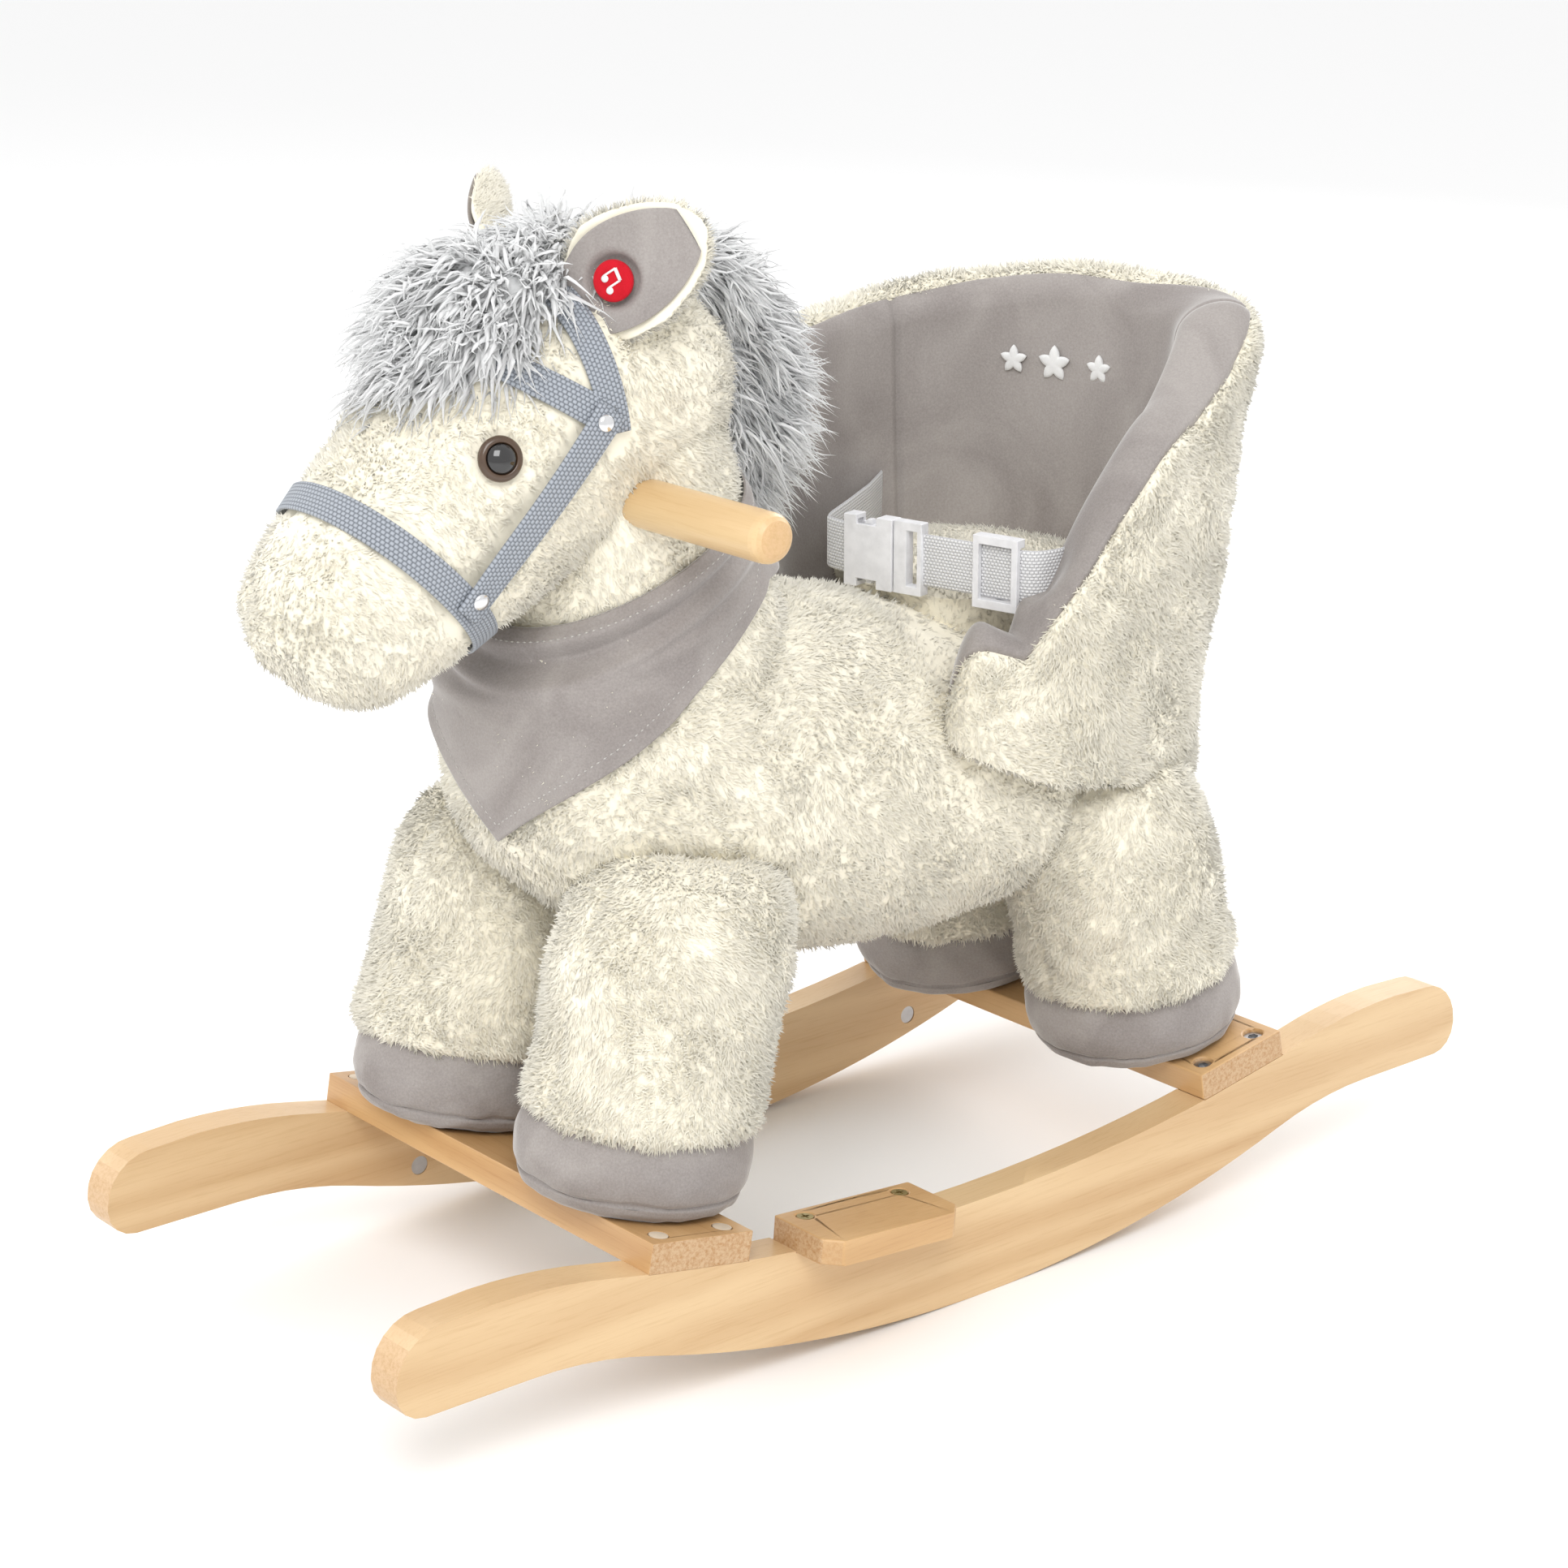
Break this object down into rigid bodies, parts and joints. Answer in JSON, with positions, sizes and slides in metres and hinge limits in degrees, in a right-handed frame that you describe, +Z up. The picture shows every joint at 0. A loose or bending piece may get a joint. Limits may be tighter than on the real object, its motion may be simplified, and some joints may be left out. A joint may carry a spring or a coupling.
{
  "type": "rocking horse",
  "caption": "Plush rocking horse on a wooden rocker base with footrests, a dowel handle, a high bucket seat with a lap belt, a bridle, a neck bandana and push buttons in the ears.",
  "frame": {"origin": "on the floor, midway between the rockers and at their mid length", "axes": "+Z up, the horse faces -Y, +X is the horse's left side"},
  "size_m": [0.32, 0.7, 0.5444],
  "materials": {
    "rocker_wood": "clear lacquered pale softwood, long grain",
    "bar_wood": "clear lacquered orange-brown softwood",
    "frame_wood": "clear lacquered turned dowel and plain hidden boards",
    "steel": "bright zinc plated steel",
    "zinc": "yellow zinc plated steel screws",
    "fleece": "short cream plush pile",
    "velour": "taupe grey short velour",
    "patch_red": "red printed push patch over a plastic key",
    "sound_plastic": "black plastic case inside the ear",
    "long_pile": "long white faux fur",
    "eye": "glossy black with a brown ring",
    "webbing_grey": "grey woven webbing",
    "rivet": "bright domed rivets",
    "webbing_white": "white woven webbing",
    "buckle_white": "white moulded plastic"
  },
  "bodies": {
    "horse": {"rocker_left": "rocker_wood", "rocker_right": "rocker_wood", "crossbar_front": "bar_wood", "crossbar_rear": "bar_wood", "footrest_left": "bar_wood", "footrest_right": "bar_wood", "crossbar_screws": "steel", "barrel_nuts": "steel", "footrest_screws": "zinc", "leg_bolts": "steel", "leg_posts": "frame_wood", "side_rails": "frame_wood", "cross_rails": "frame_wood", "neck_post": "frame_wood", "seat_board": "frame_wood", "back_board": "frame_wood", "frame_screws": "steel", "handle": "frame_wood", "torso": "fleece", "head_neck": "fleece", "leg_front_left": "fleece", "leg_front_right": "fleece", "leg_rear_left": "fleece", "leg_rear_right": "fleece", "hoof_front_left": "velour", "hoof_front_right": "velour", "hoof_rear_left": "velour", "hoof_rear_right": "velour", "seat_shell": "fleece", "seat_lining": "velour", "seat_pad": "fleece", "ear_left": "fleece", "ear_right": "fleece", "ear_inner_left": "velour", "ear_inner_right": "velour", "sound_box_left": "sound_plastic", "sound_box_right": "sound_plastic", "forelock": "long_pile", "mane": "long_pile", "tail": "long_pile", "bandana": "velour", "eye_left": "eye", "eye_right": "eye", "noseband": "webbing_grey", "browband": "webbing_grey", "cheek_straps": "webbing_grey", "crown_strap": "webbing_grey", "bridle_rivets": "rivet", "belt_left": "webbing_white", "belt_right": "webbing_white", "buckle_socket": "buckle_white"},
    "tongue": {"buckle_tongue": "buckle_white"},
    "upper_prong": {"prong_upper": "buckle_white"},
    "lower_prong": {"prong_lower": "buckle_white"},
    "slider": {"strap_slider": "buckle_white"},
    "left_ear_button": {"ear_button_left": "patch_red"},
    "right_ear_button": {"ear_button_right": "patch_red"}
  },
  "joints": [
    {"name": "ear_button_left_press", "type": "slide", "parent": "horse", "child": "left_ear_button", "axis": [-0.5571, 0.8202, -0.13], "range_m": [0, 0.0015], "stiffness_N_per_m": 800},
    {"name": "ear_button_right_press", "type": "slide", "parent": "horse", "child": "right_ear_button", "axis": [0.5571, 0.8202, -0.13], "range_m": [0, 0.0015], "stiffness_N_per_m": 800},
    {"name": "buckle_release", "type": "slide", "parent": "horse", "child": "tongue", "axis": [0.9703, 0.2419, 0], "range_m": [0, 0.019], "deforming": ["belt_left"]},
    {"name": "prong_upper_flex", "type": "hinge", "parent": "tongue", "child": "upper_prong", "pos_m": [0.01509, 0.03868, 0.3606], "axis": [-0.2419, 0.9703, 0], "range_deg": [-12.5, 0], "stiffness_Nm_per_rad": 0.005},
    {"name": "prong_lower_flex", "type": "hinge", "parent": "tongue", "child": "lower_prong", "pos_m": [0.01509, 0.03868, 0.3374], "axis": [-0.2419, 0.9703, 0], "range_deg": [0, 12.5], "stiffness_Nm_per_rad": 0.005},
    {"name": "strap_slide", "type": "slide", "parent": "horse", "child": "slider", "axis": [0.9703, 0.2419, 0], "range_m": [-0.006, 0.003]}
  ],
  "couplings": [
    {"joint": "prong_upper_flex", "follows": "buckle_release", "rad_per_m": -11.02},
    {"joint": "prong_lower_flex", "follows": "buckle_release", "rad_per_m": 11.02}
  ]
}
